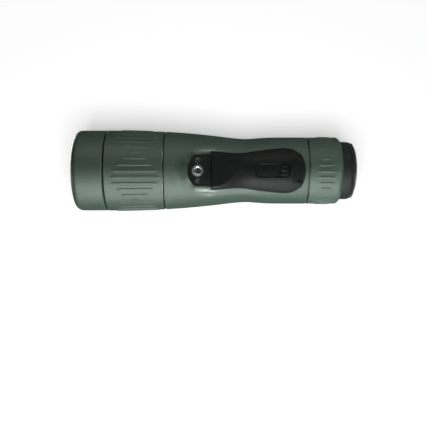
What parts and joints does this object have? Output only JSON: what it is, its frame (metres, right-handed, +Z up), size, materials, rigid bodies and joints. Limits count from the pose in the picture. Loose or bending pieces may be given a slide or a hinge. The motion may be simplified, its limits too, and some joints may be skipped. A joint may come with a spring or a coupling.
{
  "type": "laser rangefinder",
  "caption": "Straight hand-held ranging monocular with ribbed focus and zoom rings, twist-up eyecup, tripod foot and a hinged battery lid with a sliding latch.",
  "frame": {"origin": "mouth of the tripod thread, on the foot's flat face", "axes": "+Z up, +Y along the optical axis from objective to eyepiece, +X to the right seen from the objective end looking along +Y"},
  "size_m": [0.0798, 0.2719, 0.0809],
  "materials": {
    "armour": "fine matt",
    "cast_shell": "satin anodised",
    "black_metal": "matt black anodised",
    "bare_metal": "satin",
    "steel": "bright",
    "black_plastic": "fine texture",
    "cup_rubber": "matt",
    "slip": "smooth",
    "optical": "coated",
    "sensor": "plated",
    "board": "solder mask",
    "chip": "moulded",
    "cell_wrap": "shrink film",
    "key_red": "matt"
  },
  "bodies": {
    "chassis": {"main_housing": "cast_shell", "body_armour": "armour", "objective_barrel": "black_metal", "hood_armour": "armour", "lens_retainer": "black_metal", "front_seal": "cup_rubber", "objective_front_lens": "optical", "objective_spacer": "black_metal", "objective_rear_lens": "optical", "focus_slip_rings": "slip", "focus_seals": "cup_rubber", "prism_frame": "cast_shell", "roof_prism": "optical", "beam_splitter": "optical", "laser_emitter": "sensor", "laser_receiver": "sensor", "optics_tube": "black_metal", "display_unit": "black_plastic", "main_board": "board", "board_components": "chip", "battery_tray": "black_plastic", "battery_cells": "cell_wrap", "battery_contacts": "sensor", "foot_plate": "black_plastic", "tripod_bush": "steel", "small_screws": "steel", "lid_hinge_pin": "steel", "keeper_spring": "steel", "button_panel": "black_plastic", "button_board": "board", "button_switches": "chip", "eyepiece_barrel": "black_metal", "zoom_slip_ring": "slip", "zoom_snap_ring": "steel", "zoom_guide_tube": "black_metal", "eyepiece_cap": "black_metal", "field_lens": "optical", "eye_lens": "optical"},
    "focus_ring": {"focus_ring_core": "bare_metal", "focus_ring_grip": "armour"},
    "focus_carriage": {"focus_cell": "black_metal", "focus_lens": "optical", "focus_pins": "steel"},
    "zoom_ring": {"zoom_ring_core": "bare_metal", "zoom_ring_grip": "armour", "zoom_cam_tube": "sensor", "zoom_drive_screw": "steel"},
    "zoom_front": {"zoom_front_cell": "black_metal", "zoom_front_lens": "optical"},
    "zoom_rear": {"zoom_rear_cell": "black_metal", "zoom_rear_lens": "optical"},
    "cup_lift": {"eyecup_lift_ring": "steel"},
    "eyecup": {"eyecup_sleeve": "black_metal", "eyecup_rubber": "cup_rubber"},
    "lid": {"battery_lid": "black_plastic", "lid_seal": "cup_rubber"},
    "latch": {"latch_slider": "black_plastic", "latch_spring": "steel"},
    "measure_key": {"measure_button": "key_red"},
    "mode_key": {"mode_button": "black_plastic"}
  },
  "joints": [
    {"name": "focus_turn", "type": "hinge", "parent": "chassis", "child": "focus_ring", "pos_m": [0, -0.061, 0.041], "axis": [0, 1, 0], "range_deg": [-150, 150]},
    {"name": "focus_slide", "type": "slide", "parent": "chassis", "child": "focus_carriage", "axis": [0, 1, 0], "range_m": [-0.006, 0.006]},
    {"name": "zoom_turn", "type": "hinge", "parent": "chassis", "child": "zoom_ring", "pos_m": [0, 0.1228, 0.041], "axis": [0, 1, 0], "range_deg": [-55, 55]},
    {"name": "zoom_front_slide", "type": "slide", "parent": "chassis", "child": "zoom_front", "axis": [0, 1, 0], "range_m": [-0.0032, 0.0032]},
    {"name": "zoom_rear_slide", "type": "slide", "parent": "chassis", "child": "zoom_rear", "axis": [0, 1, 0], "range_m": [-0.0024, 0.0024]},
    {"name": "eyecup_slide", "type": "slide", "parent": "chassis", "child": "cup_lift", "axis": [0, 1, 0], "range_m": [0, 0.012]},
    {"name": "eyecup_turn", "type": "hinge", "parent": "cup_lift", "child": "eyecup", "pos_m": [0, 0.139, 0.041], "axis": [0, 1, 0], "range_deg": [0, 150]},
    {"name": "lid_hinge", "type": "hinge", "parent": "chassis", "child": "lid", "pos_m": [0, 0.0152, 0.0027], "axis": [-1, 0, 0], "range_deg": [0, 90], "deforming": ["keeper_spring"]},
    {"name": "latch_slide", "type": "slide", "parent": "lid", "child": "latch", "axis": [0, -1, 0], "range_m": [0, 0.004], "deforming": ["latch_spring"]},
    {"name": "measure_press", "type": "slide", "parent": "chassis", "child": "measure_key", "axis": [0, 0, -1], "range_m": [0, 0.0012]},
    {"name": "mode_press", "type": "slide", "parent": "chassis", "child": "mode_key", "axis": [0, 0, -1], "range_m": [0, 0.0012]}
  ],
  "couplings": [
    {"joint": "focus_slide", "follows": "focus_turn", "m_per_rad": 0.00229},
    {"joint": "zoom_front_slide", "follows": "zoom_turn", "m_per_rad": 0.00333},
    {"joint": "zoom_rear_slide", "follows": "zoom_turn", "m_per_rad": -0.00249},
    {"joint": "eyecup_turn", "follows": "eyecup_slide", "rad_per_m": 218}
  ]
}
